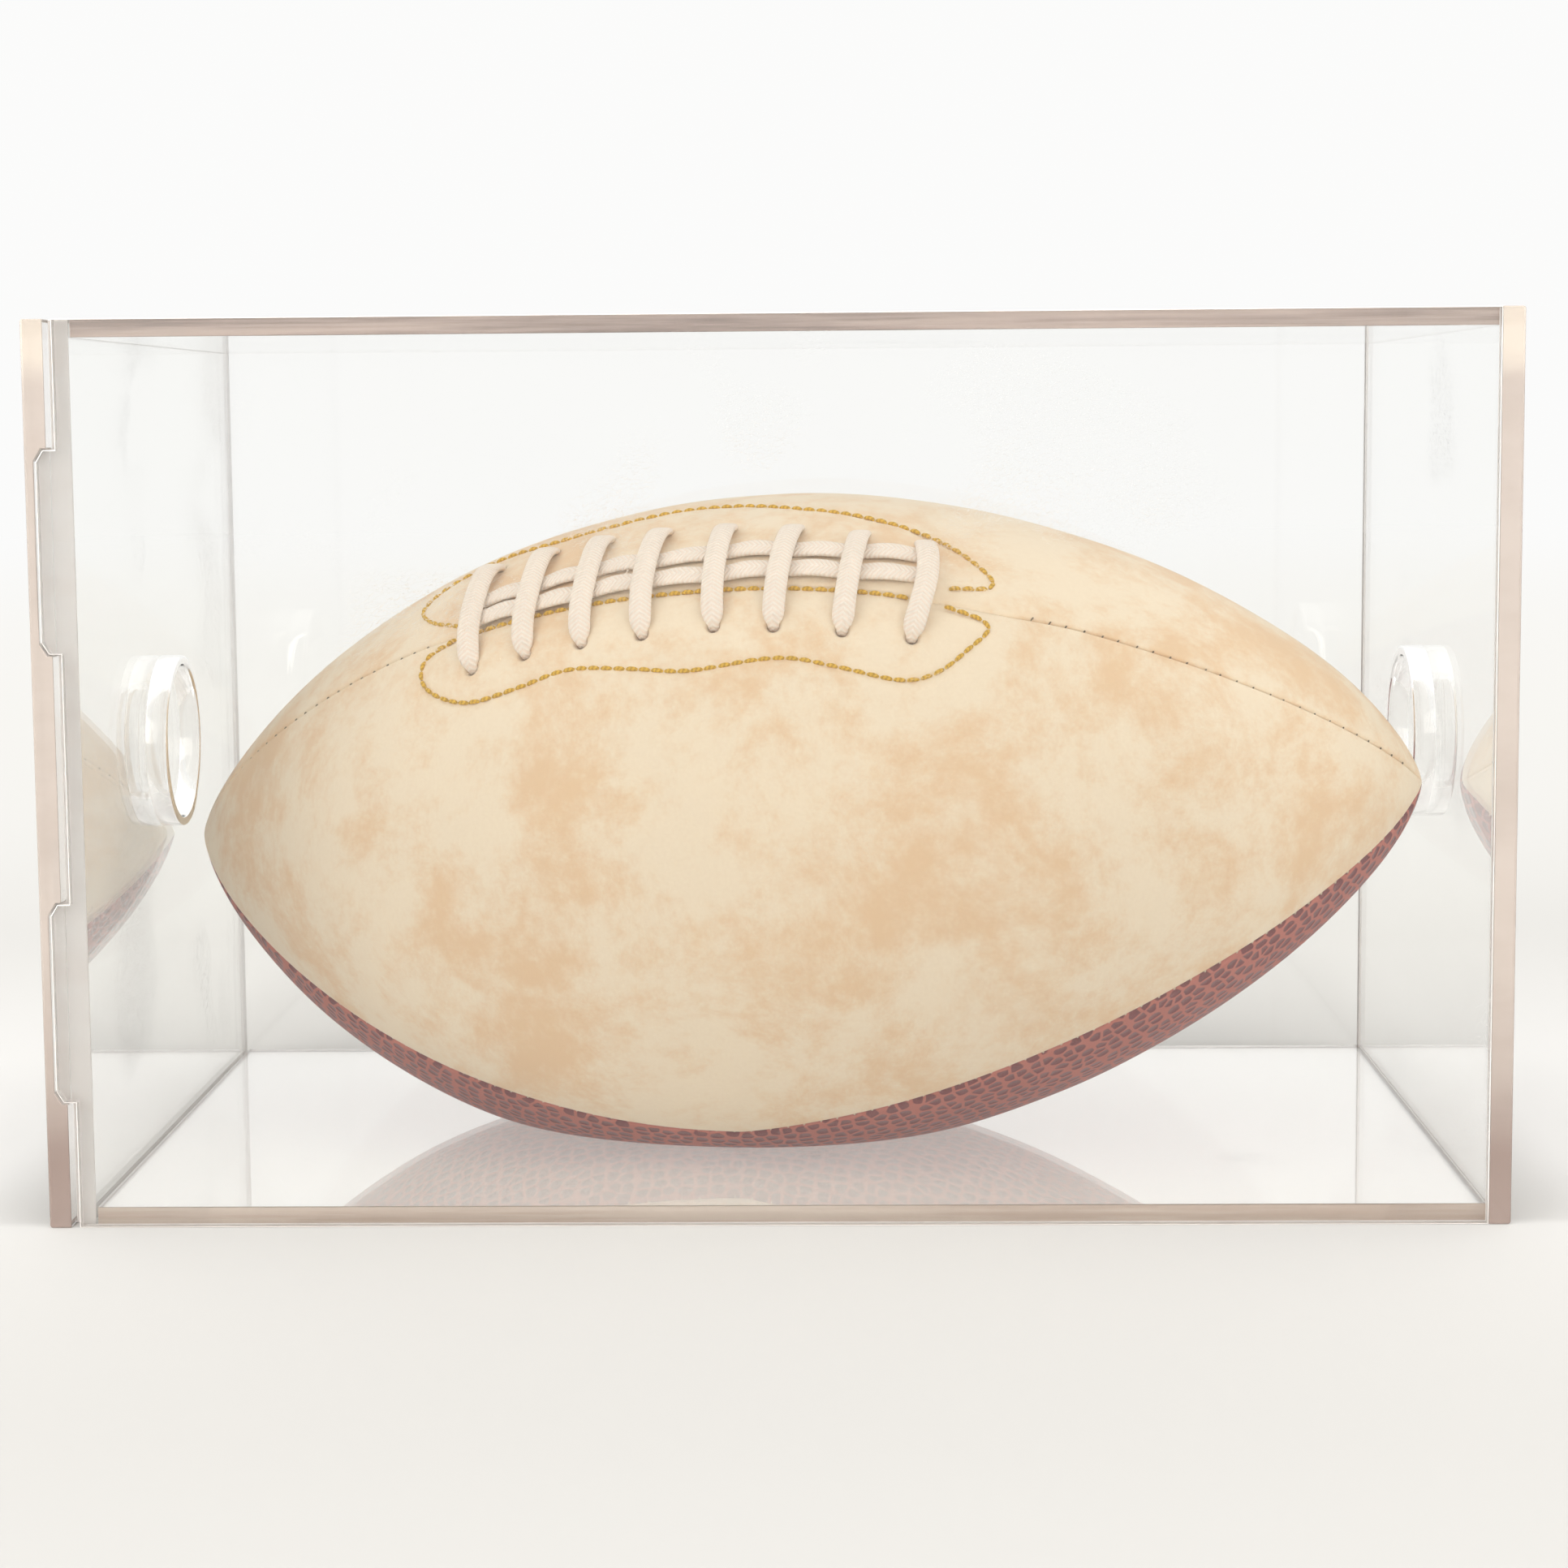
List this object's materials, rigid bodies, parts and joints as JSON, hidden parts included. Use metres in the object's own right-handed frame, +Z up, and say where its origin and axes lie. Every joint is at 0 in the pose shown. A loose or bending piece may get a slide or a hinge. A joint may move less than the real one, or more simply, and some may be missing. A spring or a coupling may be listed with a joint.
{
  "type": "football display case",
  "caption": "Clear acrylic box with a pull-off end door and two cup rings, holding a laced leather football that rests on its base.",
  "frame": {"origin": "middle of the case's footprint, on the surface it stands on", "axes": "+X along the case from the pull-off door towards the fixed end, +Y from the front to the back, +Z up"},
  "size_m": [0.324, 0.1924, 0.2005],
  "materials": {
    "clear_acrylic": "clear cast acrylic sheet, flame-bright edges with a faint rose-beige tint",
    "ring_acrylic": "clear cut acrylic tube with a rounded rim",
    "cream_leather": "smooth matt suede-like leather, clouded with tan",
    "brown_leather": "pebbled red-brown leather, pebbles darker than the ground",
    "lining_cloth": "woven cotton lining",
    "bladder_rubber": "matt black rubber",
    "valve_rubber": "matt black rubber",
    "facing_leather": "plain split leather",
    "lace_braid": "flat braided cotton lace, pale peach",
    "gold_thread": "twisted golden-yellow thread"
  },
  "bodies": {
    "case": {"base_panel": "clear_acrylic", "top_panel": "clear_acrylic", "front_panel": "clear_acrylic", "back_panel": "clear_acrylic", "fixed_end_panel": "clear_acrylic", "fixed_end_cup_ring": "ring_acrylic"},
    "end_door": {"door_outer_plate": "clear_acrylic", "door_plug_plate": "clear_acrylic", "door_cup_ring": "ring_acrylic"},
    "football": {"football_panel_front": "cream_leather", "football_panel_upper": "cream_leather", "football_panel_rear": "brown_leather", "football_panel_lower": "brown_leather", "football_lining_front": "lining_cloth", "football_lining_upper": "lining_cloth", "football_lining_rear": "lining_cloth", "football_lining_lower": "lining_cloth", "football_bladder": "bladder_rubber", "football_valve": "valve_rubber", "football_lace_facing_lower": "facing_leather", "football_lace_facing_upper": "facing_leather", "football_lace_tongue": "facing_leather", "football_lace_crosses": "lace_braid", "football_lace_run_lower": "lace_braid", "football_lace_run_upper": "lace_braid", "football_stitching_lower": "gold_thread", "football_stitching_upper": "gold_thread"}
  },
  "joints": [
    {"name": "end_door_slide", "type": "slide", "parent": "case", "child": "end_door", "axis": [-1, 0, 0], "range_m": [0, 0.12]},
    {"name": "football_lift", "type": "slide", "parent": "case", "child": "football", "axis": [0, 0, 1], "range_m": [0, 0.025]}
  ]
}
